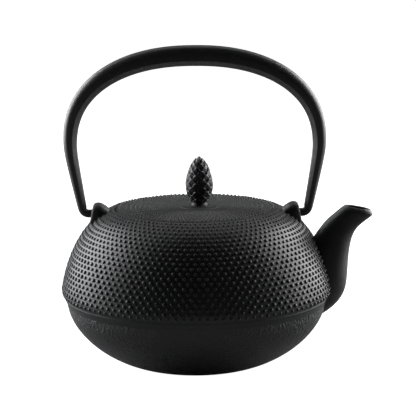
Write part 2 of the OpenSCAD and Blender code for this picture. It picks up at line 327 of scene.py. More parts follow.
# %% Brushed steel
brushed, given, out_node = new_group(
    "brushed_steel", {"Stretch": (60.0, 60.0, 4000.0), "Gloss": 0.3}, ["Height", "Roughness", "Color"])
lines = add_node(brushed, "ShaderNodeVectorMath", {0: own_place(brushed), 1: given["Stretch"]},
                 operation="MULTIPLY")
height = noise_node(brushed, lines.outputs[0], 1.0, 3.0)
swing = math_node(brushed, "MULTIPLY", math_node(brushed, "SUBTRACT", height, 0.5), 0.25)
ramp = add_node(brushed, "ShaderNodeValToRGB", {0: height})
ramp.color_ramp.elements[0].color = (0.44, 0.44, 0.45, 1)
ramp.color_ramp.elements[1].color = (0.66, 0.66, 0.67, 1)
feed(brushed, out_node, {"Height": height, "Color": ramp.outputs[0],
                         "Roughness": math_node(brushed, "ADD", given["Gloss"], swing)})
print("groups:", [group.name for group in bpy.data.node_groups])

# %% From groups to materials


def new_material(name):
    """A material, its node tree and its Principled shader."""
    material = bpy.data.materials.new(name)
    material.use_nodes = True
    return material, material.node_tree, material.node_tree.nodes["Principled BSDF"]


def bump_node(tree, height, deep_mm):
    """The normal of a bump whose full swing is deep_mm."""
    values = {"Strength": 1.0, "Distance": deep_mm * MM, "Height": height}
    return add_node(tree, "ShaderNodeBump", values).outputs["Normal"]


def coated_iron(name, coat=(0.006, 0.007, 0.0068), tint=(0.016, 0.017, 0.0168), gloss=0.44, grains=1500.0,
                wrinkles=0.2, pits=0.3, deep_mm=0.08, wear_and_painted_light=0.5, worn_and_lit=(0.09, 0.088, 0.085), specular=0.5,
                clear=0.0):
    """Satin black coat over sand-cast iron: grain drives the bump and shades the tone, the tone
    group moves colour and roughness in patches, and the wear group lightens and smooths high places
    and edges, partly as wear and partly as painted highlight and painted bounce light."""
    material, tree, shader = new_material(name)
    grain_values = {"Grains per metre": grains, "Wrinkles": wrinkles, "Pits": pits}
    grain = add_node(tree, "ShaderNodeGroup", grain_values, node_tree=cast_grain).outputs
    tone_values = {"Coat": (*coat, 1), "Tint": (*tint, 1), "Gloss": gloss, "Shade": grain["Shade"]}
    tone = add_node(tree, "ShaderNodeGroup", tone_values, node_tree=coat_tone).outputs
    wear_and_light_values = {"Worn and lit": (*worn_and_lit, 1), "Amount": wear_and_painted_light, "Color": tone["Color"], "Roughness": tone["Roughness"]}
    worn_and_lit_coat = add_node(tree, "ShaderNodeGroup", wear_and_light_values, node_tree=edge_wear_and_painted_light).outputs
    feed(tree, shader, {"Base Color": worn_and_lit_coat["Color"], "Roughness": worn_and_lit_coat["Roughness"],
                        "Normal": bump_node(tree, grain["Height"], deep_mm),
                        "Specular IOR Level": specular, "Coat Weight": clear, "Coat Roughness": 0.28})
    return material


def steel(name, stretch, gloss=0.3, deep_mm=0.02):
    """Bright steel with fine brushed lines across the long axis of the stretch."""
    material, tree, shader = new_material(name)
    values = {"Stretch": stretch, "Gloss": gloss}
    lines = add_node(tree, "ShaderNodeGroup", values, node_tree=brushed).outputs
    feed(tree, shader, {"Metallic": 1.0, "Base Color": lines["Color"], "Roughness": lines["Roughness"],
                        "Normal": bump_node(tree, lines["Height"], deep_mm)})
    return material


# %% The materials
pot_iron = coated_iron("pot_iron")
bowl_iron = coated_iron("bowl_iron", (0.004, 0.005, 0.0047), (0.01, 0.011, 0.0107), gloss=0.29,
                        grains=600.0, wrinkles=2.0, pits=0.9, deep_mm=0.85, specular=0.6)
# Stud tops take a little of the lighter colour: mostly a painted highlight, with a little wear.
stud_iron = coated_iron("stud_iron", tint=(0.014, 0.015, 0.0148), gloss=0.36, wrinkles=0.1, pits=0.1,
                        deep_mm=0.05, wear_and_painted_light=0.1)
# This material's light colour paints the highlights on the spout's lip and along the ears' edges.
spout_iron = coated_iron("spout_iron", (0.006, 0.0066, 0.0064), (0.015, 0.0155, 0.0152), gloss=0.42,
                         grains=1300.0, wrinkles=0.3, pits=0.2, deep_mm=0.32, wear_and_painted_light=0.9,
                         worn_and_lit=(0.16, 0.155, 0.15))
lid_iron = coated_iron("lid_iron", (0.005, 0.0056, 0.0053), (0.012, 0.0132, 0.0126), gloss=0.62,
                       grains=1300.0, pits=0.15, wear_and_painted_light=0.1)
# The lid's stud tops take a little of the lighter colour: mostly a painted highlight, with a little wear.
lid_stud_iron = coated_iron("lid_stud_iron", (0.007, 0.0077, 0.0073), (0.016, 0.0172, 0.0166), gloss=0.46,
                            grains=1300.0, wrinkles=0.1, pits=0.1, deep_mm=0.05, wear_and_painted_light=0.1)
seat_iron = coated_iron("seat_iron", (0.005, 0.0055, 0.0053), (0.012, 0.013, 0.0125), gloss=0.58,
                        grains=1300.0, wrinkles=0.3, pits=0.2, deep_mm=0.1, wear_and_painted_light=0.0)
# The bail's light colour is painted bounce light on its inner bevel.
bail_iron = coated_iron("bail_iron", (0.005, 0.0054, 0.0052), (0.012, 0.0126, 0.0122), gloss=0.40,
                        wrinkles=0.1, pits=0.1, deep_mm=0.16, wear_and_painted_light=1.0, worn_and_lit=(0.15, 0.148, 0.145),
                        specular=0.6)
# The knob's light colour paints the highlights along its scales' rims.
knob_iron = coated_iron("knob_iron", (0.006, 0.006, 0.008), (0.014, 0.0135, 0.018), gloss=0.40,
                        wrinkles=0.5, pits=0.4, deep_mm=0.3, wear_and_painted_light=0.9, worn_and_lit=(0.06, 0.058, 0.066))
enamel = coated_iron("inside_enamel", (0.012, 0.012, 0.013), (0.02, 0.02, 0.021), gloss=0.24,
                     grains=300.0, pits=0.0, deep_mm=0.15, wear_and_painted_light=0.0, clear=0.6)
fastener_steel = steel("fastener_steel", (300.0, 300.0, 3000.0), 0.28)
infuser_steel = steel("infuser_steel", (90.0, 90.0, 5000.0), 0.32)
print("materials:", [m.name for m in bpy.data.materials if m.use_nodes])

# %% [markdown]
# ## The pot casting
#
# The pot is round, so its skin is one closed outline turned about the upright axis. The shoulder is
# a quarter of a superellipse, which gives a wide, square-shouldered belly that no circle would. A
# thin ridge marks the lower edge of the stud field, a plain band leans inwards below it to a fine
# parting line, and the bowl curves down to a small flat base. The outline then goes over the mouth,
# down to the ledge that the strainer hangs on, and back along the inside.

# %% Named sizes of the casting
WAIST_Z, SHOULDER_RISE = 51.3, 57.8
SIDE_POWER, TOP_POWER = 4.9, 1.32
BOWL_R, BOWL_Z, BOWL_POWER = 86.3, 42.6, 1.69
BASE_R, WALL, BOWL_TUCK = 31.0, 4.0, 0.3
MOUTH_R, LEDGE_Z, THROAT_R = 53.8, 98.6, 48.0
RIDGE_Z, RIDGE_UP, MOUTH_SOFT = 46.3, 0.3, 0.5


def shoulder_line(r0, r1, z0, rise, count=60):
    """Superellipse quarter: r = r1 sin(a)^(2/side), z = z0 + rise cos(a)^(2/top), from r0 out to r1."""
    first = math.asin((r0 / r1) ** (SIDE_POWER / 2))
    a = np.linspace(first, math.pi / 2, count)
    return np.stack([r1 * np.sin(a) ** (2 / SIDE_POWER),
                     z0 + rise * np.abs(np.cos(a)) ** (2 / TOP_POWER)], -1)


def bowl_line(r1, z1, r0, z0, count=44):
    """Bowl curve: r = r0 + (r1-r0) cos(a)^(2/p), z = z1 - (z1-z0) sin(a)^(2/p). A small tuck below
    the top lets it carry on the lean of the band above it."""
    a = np.linspace(0, math.pi / 2, count)
    c, s = np.abs(np.cos(a)) ** (2 / BOWL_POWER), np.sin(a) ** (2 / BOWL_POWER)
    tuck = BOWL_TUCK * (1 - np.exp(-(z1 - z0) * s / 1.5)) * c
    return np.stack([r0 + (r1 - r0) * c - tuck, z1 - (z1 - z0) * s], -1)


def shoulder_z(r):
    """Height of the shoulder's skin at radius r."""
    share = np.clip(np.asarray(r, float) / BODY_R, 0, 1) ** SIDE_POWER
    return WAIST_Z + SHOULDER_RISE * (1 - share) ** (1 / TOP_POWER)


# %% The outline from the mouth down to the base
mouth_z = float(shoulder_z(MOUTH_R))
lean = (BODY_R - BOWL_R) / (WAIST_Z - BOWL_Z)
field = shoulder_line(MOUTH_R + 1.6, BODY_R, WAIST_Z, SHOULDER_RISE)
band = np.array([[BODY_R - 0.25, WAIST_Z - 1.6],
                 [BODY_R - lean * (WAIST_Z - RIDGE_Z - 1.0), RIDGE_Z + 1.0],
                 [BODY_R - lean * (WAIST_Z - RIDGE_Z - 0.5) + RIDGE_UP, RIDGE_Z + 0.45],
                 [BODY_R - lean * (WAIST_Z - RIDGE_Z) + RIDGE_UP, RIDGE_Z],
                 [BODY_R - lean * (WAIST_Z - RIDGE_Z + 0.9), RIDGE_Z - 0.9],
                 [BOWL_R + lean * 0.6 + 0.2, BOWL_Z + 0.6],
                 [BOWL_R + 0.24, BOWL_Z + 0.1]])
bowl = bowl_line(BOWL_R + 0.2, BOWL_Z, BASE_R, 0.0)
rim = rounded([[MOUTH_R + 3.5, float(shoulder_z(MOUTH_R + 3.5))], [MOUTH_R, mouth_z], [MOUTH_R, LEDGE_Z],
               [THROAT_R, LEDGE_Z], [THROAT_R, LEDGE_Z - WALL], [MOUTH_R + WALL, LEDGE_Z - WALL]],
              [0, MOUTH_SOFT, 0.4, 0.5, 0.5, 0.8], 5, closed=False)[6:-6]
inside_top = shoulder_line(MOUTH_R + WALL, BODY_R - WALL, WAIST_Z, SHOULDER_RISE - WALL, 36)
inside_low = bowl_line(BOWL_R - WALL, BOWL_Z + WALL / 2, BASE_R - 1, WALL, 30)
inside_top = inside_top[inside_top[:, 1] < LEDGE_Z - WALL]
outline = np.concatenate([bowl[::-1], band[::-1], field[::-1][1:-2], rim, inside_top, inside_low])
print(f"mouth edge at {mouth_z:.1f}, outline of {len(outline)} points")

# %% Which faces are cavity and which are bowl
MID_WALL = np.concatenate([
    bowl_line(BOWL_R - WALL / 2, BOWL_Z, BASE_R, WALL / 2)[::-1],
    shoulder_line(MOUTH_R, BODY_R - WALL / 2, WAIST_Z, SHOULDER_RISE - WALL / 2)[::-1]])


def mid_wall_r(z):
    """Radius of the middle of the pot's wall at height z."""
    return np.interp(z, MID_WALL[:, 1], MID_WALL[:, 0])


def is_inside(middles):
    """Faces of the cavity: below the ledge, and nearer the axis than the middle of the wall."""
    r, z = np.hypot(middles[:, 0], middles[:, 1]), middles[:, 2]
    return (z < LEDGE_Z - WALL / 2) & (r < mid_wall_r(z))


def is_bowl(middles):
    """Faces below the parting line, where the rough skin of the bowl shows."""
    return middles[:, 2] < BOWL_Z + 0.1


add_piece("pot_shell", turned(outline, 256, poles=True), pot_iron, "pot",
          ["pot_bowl", "pot_shoulder"], crease=38, zones=[(bowl_iron, is_bowl), (enamel, is_inside)])

# %% [markdown]
# ## The studs
#
# The shoulder carries 22 rows of studs, the same number in every row, so they crowd together
# towards the mouth. Alternate rows are set half a pitch round. Each stud is a small steep dome of a
# few dozen faces whose foot is sunk in the skin. All domes are worked out in one array from the
# point on the skin, the directions along and across it, and the dome's own shape.

# %% Domes on a turned surface


def domes(radius, height_z, out_r, out_z, turn, across, along, tall, sides=10):
    """Domes at the points (radius, height_z, turn) whose outward direction is (out_r, out_z).
    A dome's point at share q of its foot and angle b lies q cos(b) across along the ring and
    q sin(b) along down the outline, and stands its ring's lift, a share of tall, over the skin."""
    shares = np.array([1.02, 0.92, 0.7, 0.36])
    lift = np.array([-0.2, 0.45, 0.83, 0.98])
    b = np.linspace(0, 2 * np.pi, sides, endpoint=False)
    u = np.append((shares[:, None] * np.cos(b)).ravel(), 0.0)
    v = np.append((shares[:, None] * np.sin(b)).ravel(), 0.0)
    h = np.append((lift[:, None] + 0 * b).ravel(), 1.0)
    ring_way = np.stack([-np.sin(turn), np.cos(turn), 0 * turn], -1)
    out_way = around(out_r, turn, out_z)
    down_way = np.cross(out_way, ring_way)
    points = (around(radius, turn, height_z)[:, None] + across[:, None, None] * u[:, None] * ring_way[:, None]
              + along[:, None, None] * v[:, None] * down_way[:, None]
              + tall[:, None, None] * h[:, None] * out_way[:, None])
    one = grid_faces(len(shares), sides).tolist()
    top = len(shares) * sides
    one += [[(len(shares) - 1) * sides + k, (len(shares) - 1) * sides + (k + 1) % sides, top]
            for k in range(sides)]
    one += [list(range(sides))[::-1]]
    count = len(u)
    faces = [[k + first for k in face] for first in range(0, len(turn) * count, count) for face in one]
    # The top of each dome is marked for the lighter colour: a little wear, and for the most part a painted
    # highlight on the stud's top.
    wear_and_painted_light = np.tile(np.clip(h, 0, 1) ** 3, len(turn))
    return points.reshape(-1, 3), faces, wear_and_painted_light


# %% Rows at even steps down the outline
STUD_ROWS, STUDS_ROUND = 22, 112
FIRST_ROW, ROW_STEP = 2.3, 3.21
skin_line = np.concatenate([shoulder_line(MOUTH_R, BODY_R, WAIST_Z, SHOULDER_RISE, 900), band[1:2]])
steps = np.linalg.norm(np.diff(skin_line, axis=0), axis=1)
arc = np.concatenate([[0], np.cumsum(steps)])
row_arc = FIRST_ROW + ROW_STEP * np.arange(STUD_ROWS)
row_r = np.interp(row_arc, arc, skin_line[:, 0])
row_z = np.interp(row_arc, arc, skin_line[:, 1])
ahead_r = np.interp(row_arc + 0.4, arc, skin_line[:, 0]) - np.interp(row_arc - 0.4, arc, skin_line[:, 0])
ahead_z = np.interp(row_arc + 0.4, arc, skin_line[:, 1]) - np.interp(row_arc - 0.4, arc, skin_line[:, 1])
ahead = np.hypot(ahead_r, ahead_z)
random = np.random.default_rng(7)


def staggered(row_radius, start, luck):
    """Studs of the same number in every row, each row half a pitch round from the last. Returns for
    each stud its row, its turn, its pitch, and a size that luck makes uneven."""
    rows = len(row_radius)
    row, place = np.meshgrid(np.arange(rows), np.arange(STUDS_ROUND), indexing="ij")
    row, place = row.ravel(), place.ravel()
    turn = 2 * np.pi * (place + 0.5 * (row % 2) + start) / STUDS_ROUND
    pitch = 2 * np.pi * row_radius[row] / STUDS_ROUND
    return row, turn, pitch, 1 + luck * random.standard_normal(len(row))


row, turn, pitch, uneven = staggered(row_r, 0, 0.05)
print(f"last row at arc {row_arc[-1]:.1f}, height {row_z[-1]:.1f}, of {arc[-1]:.1f}")

# %% [markdown]
# ## The spout
#
# The spout rises from the belly, narrows as it bends, and ends in a slanted lip with a thick front
# edge. It is a tube carried along a bent line: a few stations say where its back and its front lie
# and how wide it is, and a smooth curve runs through them. Its sides are flatter than an ellipse.
# The bore is the same kind of tube, run back down the inside, so outside, lip and bore make one
# closed skin.

# %% Stations of the spout, from the lip to the root
# Each is: back x, back z, front x, front z, half width
SPOUT_OUTSIDE = np.array([
    [98.8, 106.2, 116.5, 103.0, 5.8], [97.0, 105.0, 117.6, 101.0, 6.6], [94.8, 103.2, 116.0, 98.5, 7.0],
    [87.6, 97.0, 106.8, 90.6, 7.8], [81.2, 89.0, 102.6, 79.4, 10.2], [74.0, 77.0, 101.0, 62.0, 13.4],
    [70.0, 61.0, 97.8, 46.4, 15.0], [69.0, 48.0, 88.8, 36.4, 14.2], [66.0, 40.0, 77.0, 29.0, 11.0]])
SPOUT_BORE = np.array([
    [76.0, 62.0, 88.0, 54.0, 8.0], [76.0, 67.4, 91.6, 58.0, 8.6], [82.0, 82.2, 97.4, 73.6, 7.4],
    [88.0, 91.8, 100.6, 86.9, 5.6], [94.2, 99.8, 109.4, 95.6, 5.0], [99.9, 105.9, 115.3, 102.9, 5.0]])
SPOUT_SQUARE = 2.35
SPOUT_SIDES = 72


def tube_rings(stations, count, square):
    """Rings through stations. A ring's point at angle a lies C = |cos a|^(2/square) of the way from
    its middle to its front or back, and S = |sin a|^(2/square) of the half width to the side."""
    middles = (stations[:, 0:2] + stations[:, 2:4]) / 2
    at = np.concatenate([[0], np.cumsum(np.linalg.norm(np.diff(middles, axis=0), axis=1))])
    s = smooth_line(stations, at, np.linspace(0, at[-1], count))
    middle, half = (s[:, 0:2] + s[:, 2:4]) / 2, (s[:, 2:4] - s[:, 0:2]) / 2
    a = np.linspace(0, 2 * np.pi, SPOUT_SIDES, endpoint=False)
    c = np.sign(np.cos(a)) * np.abs(np.cos(a)) ** (2 / square)
    w = np.sign(np.sin(a)) * np.abs(np.sin(a)) ** (2 / square)
    x = middle[:, :1] + half[:, :1] * c
    z = middle[:, 1:] + half[:, 1:] * c
    return np.stack([x, s[:, 4:] * w, z], -1), middle, half, s[:, 4]


# %% The root stops inside the pot's wall


def out_of_the_pot(points):
    """Points nearer the axis than the middle of the pot's wall are moved straight out to it."""
    grow = np.maximum(1, mid_wall_r(points[..., 2]) / np.hypot(points[..., 0], points[..., 1]))
    return points * np.stack([grow, grow, np.ones_like(grow)], -1)


outside, spout_middle, spout_half, spout_width = tube_rings(SPOUT_OUTSIDE, 96, SPOUT_SQUARE)
bore, _, _, _ = tube_rings(SPOUT_BORE, 60, 2.2)
lip_up = np.array([0.19, 0.0, 0.98])
lip = np.stack([outside[0] * 0.72 + bore[-1] * 0.28 + lip_up * 0.42,
                outside[0] * 0.45 + bore[-1] * 0.55 + lip_up * 0.5,
                outside[0] * 0.15 + bore[-1] * 0.85 + lip_up * 0.25])
spout_grid = np.concatenate([outside, bore, lip[::-1]])
spout_grid = out_of_the_pot(spout_grid)
# The lip and the outside rings next to it are marked for the lighter colour: a painted highlight on the rims
# of the spout's mouth.
spout_painted_highlight = np.zeros(spout_grid.shape[:2])
spout_painted_highlight[:3] = [[0.5], [0.25], [0.1]]
spout_painted_highlight[-3:] = [[0.6], [0.9], [0.8]]
add_piece("spout_cast", (spout_grid.reshape(-1, 3),
                         grid_faces(*spout_grid.shape[:2], wrap_rows=True).tolist()),
          spout_iron, "pot", ["spout"], marks={"wear_and_painted_light": spout_painted_highlight.ravel()})

# %% Studs on the shoulder, left out where the spout and the ears stand


def under_spout(points, margin=1.0):
    """True where a point lies within the spout: nearest ring by plane distance, then its outline."""
    line = np.gradient(spout_middle, axis=0)
    line /= np.linalg.norm(line, axis=1, keepdims=True)
    flat = points[:, None, [0, 2]] - spout_middle
    nearest = np.argmin(np.abs(np.einsum("psk,sk->ps", flat, line)), axis=1)
    offset = np.take_along_axis(flat, nearest[:, None, None], 1)[:, 0]
    half = spout_half[nearest]
    c = np.einsum("pk,pk->p", offset, half) / np.einsum("pk,pk->p", half, half)
    w = points[:, 1] / spout_width[nearest]
    return (np.abs(c) ** SPOUT_SQUARE + np.abs(w) ** SPOUT_SQUARE < margin) & (points[:, 0] > 50)


stud_points = around(row_r[row], turn, row_z[row])
under_ears = (np.abs(stud_points[:, 1]) < 6.5) & (np.abs(np.abs(stud_points[:, 0]) - 64.5) < 6.5)
free = ~(under_spout(stud_points) | under_ears)
stud_r = np.minimum(0.27 * pitch, 1.28) * uneven
tall = (0.5 + 0.085 * pitch) * uneven
points, faces, wear_and_painted_light = domes(row_r[row][free], row_z[row][free], (-ahead_z / ahead)[row][free],
                            (ahead_r / ahead)[row][free], turn[free], stud_r[free],
                            np.minimum(stud_r * 1.02, 1.5)[free], tall[free])
add_piece("shoulder_studs", (points, faces), stud_iron, "pot", marks={"wear_and_painted_light": wear_and_painted_light})

# %% [markdown]
# ## The ears
#
# Two lugs on the shoulder hold the bail's pins. Seen from the front each is a hump that rises from
# the shoulder and drops in an upright outer face; seen from the end it is a tab with a round top and
# a hole. It is lofted from the inside outwards: a row of arches whose height follows the hump, then
# the flat outer face, which shrinks onto the hole and runs into it.

# %% An ear as rows of arches
EAR_FACE_X, EAR_INNER_X, EAR_LEAN, EAR_SKIRT, EAR_DOWN = 69.3, 55.5, 0.2, 1.6, 14
ARCH_ROUND = 0.88
PIN_R, PIN_GAP, BORE_END_X = 2.8, 0.06, 62.6
# Share of the way out to the face, height of the hump, half width of the arch
EAR_HUMP = np.array([[0.0, 101.5, 4.4], [0.1, 104.0, 5.6], [0.28, 106.6, 6.7], [0.5, 108.4, 7.3],
                     [0.7, 109.3, 7.5], [0.86, 109.2, 7.4], [0.96, 108.6, 7.0], [1.0, 107.9, 6.5]])


def ear(side):
    """Arches y = w cos(b)^round, z = pin + h sin(b)^round over two straight legs that go down into the
    wall. The share u of the way from the inner end to the leaning face gives x at each height."""
    u = np.concatenate([np.linspace(0, 0.9, 26), [0.93, 0.955, 0.975, 0.99, 1.0]])
    hump = smooth_line(EAR_HUMP[:, 1:], EAR_HUMP[:, 0], u)
    b = np.linspace(0, np.pi, 40)
    leg = np.linspace(0, 1, 12)[:, None]
    y = hump[:, 1] * (np.sign(np.cos(b)) * np.abs(np.cos(b)) ** ARCH_ROUND)[:, None]
    z = PIN_Z + (hump[:, 0] - PIN_Z) * np.abs(np.sin(b))[:, None] ** ARCH_ROUND
    skirt = hump[:, 1] + EAR_SKIRT * leg[::-1]
    down = PIN_Z - EAR_DOWN * leg[::-1]
    y = np.concatenate([skirt[:-1], y, -skirt[::-1][1:]]).T
    z = np.concatenate([down[:-1] + 0 * skirt[:-1], z, (down + 0 * skirt)[::-1][1:]]).T
    face_x = EAR_FACE_X + EAR_LEAN * (PIN_Z - z)
    x = EAR_INNER_X + (face_x - EAR_INNER_X) * u[:, None]
    low = shoulder_z(np.hypot(x, y)) - 1.8
    z = np.maximum(z, np.minimum(low, z.max()))
    arches = np.stack([x, y, z], -1)
    rim_y, rim_z = y[-1], z[-1]
    way = np.arctan2(rim_z - PIN_Z, rim_y)
    hole_r = PIN_R + PIN_GAP
    rings = []
    for share, cut in [(0.06, 0.0), (0.35, 0.0), (0.7, 0.0), (0.94, 0.0), (1.0, 0.25)]:
        ring_y = rim_y + (hole_r * np.cos(way) - rim_y) * share
        ring_z = rim_z + (PIN_Z + hole_r * np.sin(way) - rim_z) * share
        rings.append(np.stack([EAR_FACE_X + EAR_LEAN * (PIN_Z - ring_z) - cut, ring_y, ring_z], -1))
    for hole_x in (EAR_FACE_X - 1.5, BORE_END_X):
        rings.append(np.stack([hole_x + 0 * way, hole_r * np.cos(way), PIN_Z + hole_r * np.sin(way)], -1))
    grid = np.concatenate([arches, np.array(rings)])
    grid[..., 0] *= side
    # The ear's outer edge and the rims of its flat face and hole are marked for the lighter colour: a painted
    # highlight.
    worn_and_lit = np.concatenate([u**8 * 0.8, [0.5, 0.1, 0.1, 0.2, 0.4, 0, 0]])
    ear_painted_highlight = np.append(np.repeat(worn_and_lit, grid.shape[1]), [0, 0])
    return closed_skin(grid), ear_painted_highlight


for side, name in ((-1, "left_ear"), (1, "right_ear")):
    surface, marks = ear(side)
    add_piece(name + "_cast", surface, spout_iron, "pot", [name], crease=42,
              marks={"wear_and_painted_light": marks})

# %% [markdown]
# ## The bail
#
# The bail is one forged-looking bar: a wide arch that thins into two legs, with a tight elbow and a
# short pin at each end. Its section is a rounded back, two flat faces, and a bevel on each side of
# the inner edge; the crease between face and bevel is what catches the light. The section is carried
# along the middle line, and near the elbows it turns into the pins' circle.

# %% Middle line and thickness
GRIP_H, GRIP_W, PIN_TIP_X = 13.4, 15.0, 63.2
BAIL_MIDDLE_TOP = BAIL_TOP - GRIP_H / 2
BAIL_WIDE_Z, BAIL_HALF_W, BAIL_POWER = 149.0, 82.3, 2.25
LEG_LEAN, LEG_BEND, ELBOW_R = 0.2, 8.0, 4.2
ELBOW_Z = PIN_Z + ELBOW_R
ARCH_SHARE, LEG_SHARE = 0.609, 0.217


def leg_x(z):
    """Middle of a leg: it leans in by 0.2 of each millimetre down, and turns softly into that."""
    return BAIL_HALF_W - LEG_LEAN * (np.sqrt((BAIL_WIDE_Z - z) ** 2 + LEG_BEND**2) - LEG_BEND)


a = np.linspace(0, math.pi / 2, 72)
arch = np.stack([BAIL_HALF_W * np.sin(a) ** (2 / BAIL_POWER),
                 BAIL_WIDE_Z + (BAIL_MIDDLE_TOP - BAIL_WIDE_Z) * np.abs(np.cos(a)) ** (2 / BAIL_POWER)], -1)
z = np.linspace(BAIL_WIDE_Z, ELBOW_Z, 26)[1:]
leg = np.stack([leg_x(z), z], -1)
bend = np.linspace(0, math.pi / 2, 13)[1:]
bend_x = leg_x(ELBOW_Z) - ELBOW_R
elbow = np.stack([bend_x + ELBOW_R * np.cos(bend), ELBOW_Z - ELBOW_R * np.sin(bend)], -1)
pin_x = np.array([0.25, 0.5, 0.75, 0.95, 1.0]) * (PIN_TIP_X - bend_x) + bend_x
pin = np.stack([pin_x, PIN_Z + 0 * pin_x], -1)
half_line = np.concatenate([arch, leg, elbow, pin])
share = np.concatenate([a / (math.pi / 2) * ARCH_SHARE,
                        ARCH_SHARE + LEG_SHARE * np.linspace(0, 1, 26)[1:],
                        ARCH_SHARE + LEG_SHARE + (1 - ARCH_SHARE - LEG_SHARE) * bend / (math.pi / 2),
                        np.ones(len(pin))])
middle_line = np.concatenate([half_line[:0:-1] * [-1, 1], half_line])
share = np.concatenate([share[:0:-1], share])
slim = np.abs(np.cos(np.minimum(share / 0.86, 1) * math.pi / 2))
half_high = PIN_R + (GRIP_H / 2 - PIN_R) * slim
half_deep = PIN_R + (GRIP_W / 2 - PIN_R) * slim
half_high[[0, -1]] -= 0.5
half_deep[[0, -1]] -= 0.5

# %% Sections along the line
ARC_STEPS = 6
ARC_POINTS = ARC_STEPS + 1
CREASE_GRIP, CREASE_LEG = -0.47, -0.22
crease_at = CREASE_LEG + (CREASE_GRIP - CREASE_LEG) * slim
h, d = half_high, half_deep
face_deep = (0.97 + 0.02 * slim) * d
edge_deep = (0.34 + 0.06 * slim) * d
back_high = (0.42 + 0.12 * (1 - slim)) * h
back_deep = (0.58 - 0.5 * (1 - slim)) * d
back_wide = (0.99 - 0.07 * slim) * d
half_section = [(h, back_deep), (back_high, back_wide), (crease_at * h, face_deep), (-h, edge_deep)]
section = np.stack([np.stack([high, sign * deep], -1)
                    for sign, corners_here in ((1, half_section), (-1, half_section[::-1]))
                    for high, deep in corners_here], 1)
back_soft = (0.2 + 0.3 * slim) * d
half_soft = [back_soft, back_soft, 0.3 + 0 * d, 0.5 + 0 * d]
soft = np.stack(half_soft + half_soft[::-1], 1)
section = rounded(section, soft, ARC_STEPS)
angle = np.arctan2(section[len(section) // 2, :, 1], section[len(section) // 2, :, 0])
circle = np.stack([h[:, None] * np.cos(angle), d[:, None] * np.sin(angle)], -1)
round_part = np.clip((share - 0.80) / 0.14, 0, 1)[:, None, None]
round_part = round_part**2 * (3 - 2 * round_part)
section = section * (1 - round_part) + circle * round_part
along = np.gradient(middle_line, axis=0)
along /= np.linalg.norm(along, axis=1, keepdims=True)
out = np.stack([-along[:, 1], along[:, 0]], -1)
bail_grid = np.stack([middle_line[:, :1] + out[:, :1] * section[..., 0], section[..., 1],
                      middle_line[:, 1:] + out[:, 1:] * section[..., 0]], -1)
ring_points = section.shape[1]
corner, within = np.divmod(np.arange(ring_points), ARC_POINTS)
on_bevel = np.where(corner < 4, within > ARC_STEPS / 2, within < ARC_STEPS / 2)
corner = np.minimum(corner, 7 - corner)
# The inner bevel is marked for the lighter colour, in place of light thrown up from the pale floor: painted
# bounce light. The rest of the bar is marked faintly.
bail_painted_light = np.where((corner == 2) & on_bevel, 0.9, np.array([0.1, 0.1, 0.15, 0.9])[corner])
bail_painted_light = (slim[:, None] * 0.7 + 0.3) * bail_painted_light
add_piece("bail_bar", closed_skin(bail_grid), bail_iron, "bail", ["bail_handle"],
          marks={"wear_and_painted_light": np.append(bail_painted_light.ravel(), [0, 0])}, off=-0.3)

# %% [markdown]
# ## The lid
#
# The lid is a shallow dome that lies flush in the mouth, with a skirt below that keeps it centred.
# It is one closed outline again, with a hole for the knob's stud. Rows of studs run on over it, as
# many in each row as on the pot, so they shrink with the radius and fade out before the middle.

# %% Lid casting
LID_EDGE_Z, LID_FLAT_R, LID_LOW_Z = 105.4, 13.5, 99.4
LID_UNDER_Z, SKIRT_R, SKIRT_IN_R, SKIRT_LOW_Z, STUD_HOLE_R = 102.0, 46.0, 43.0, 93.0, 2.6
# The lid lies a little to one side of the mouth, and its knob a little to one side of the lid
LID_OFF, KNOB_OFF = 0.45, 2.4


def lid_line(r0, count):
    """Top of the lid from radius r0 to its edge: z = edge + rise sqrt(1 - t^2), t across the dome."""
    r = LID_FLAT_R + (LID_R - LID_FLAT_R) * np.sin(np.linspace(0, math.pi / 2, count))
    t = (r - LID_FLAT_R) / (LID_R - LID_FLAT_R)
    z = LID_EDGE_Z + (LID_TOP - LID_EDGE_Z) * np.sqrt(np.clip(1 - t**2, 0, 1))
    keep = r >= r0
    return np.stack([r, z], -1)[keep]


lid_low = rounded([[LID_R, LID_EDGE_Z + 0.2], [LID_R, LID_LOW_Z], [SKIRT_R, LID_LOW_Z],
                   [SKIRT_R, SKIRT_LOW_Z], [SKIRT_IN_R, SKIRT_LOW_Z], [SKIRT_IN_R, LID_UNDER_Z],
                   [STUD_HOLE_R, LID_UNDER_Z], [STUD_HOLE_R, LID_TOP]],
                  [0, 0.5, 0.8, 0.7, 0.7, 1.2, 0.2, 0.2], 3, closed=False)
lid_top = lid_line(0, 46)
lid_top[-1] -= [0.12, 0.0]
lid_outline = np.concatenate([lid_top, lid_low[4:]])
lid_points, lid_faces = turned(lid_outline, 256)
near_middle = np.clip((30 - np.hypot(lid_points[:, 0], lid_points[:, 1])) / 22, 0, 1)
lid_points[:, 0] += near_middle * (KNOB_OFF - LID_OFF)
add_piece("lid_cast", (lid_points, lid_faces), lid_iron, "lid", ["lid"], crease=38,
          off=LID_OFF)

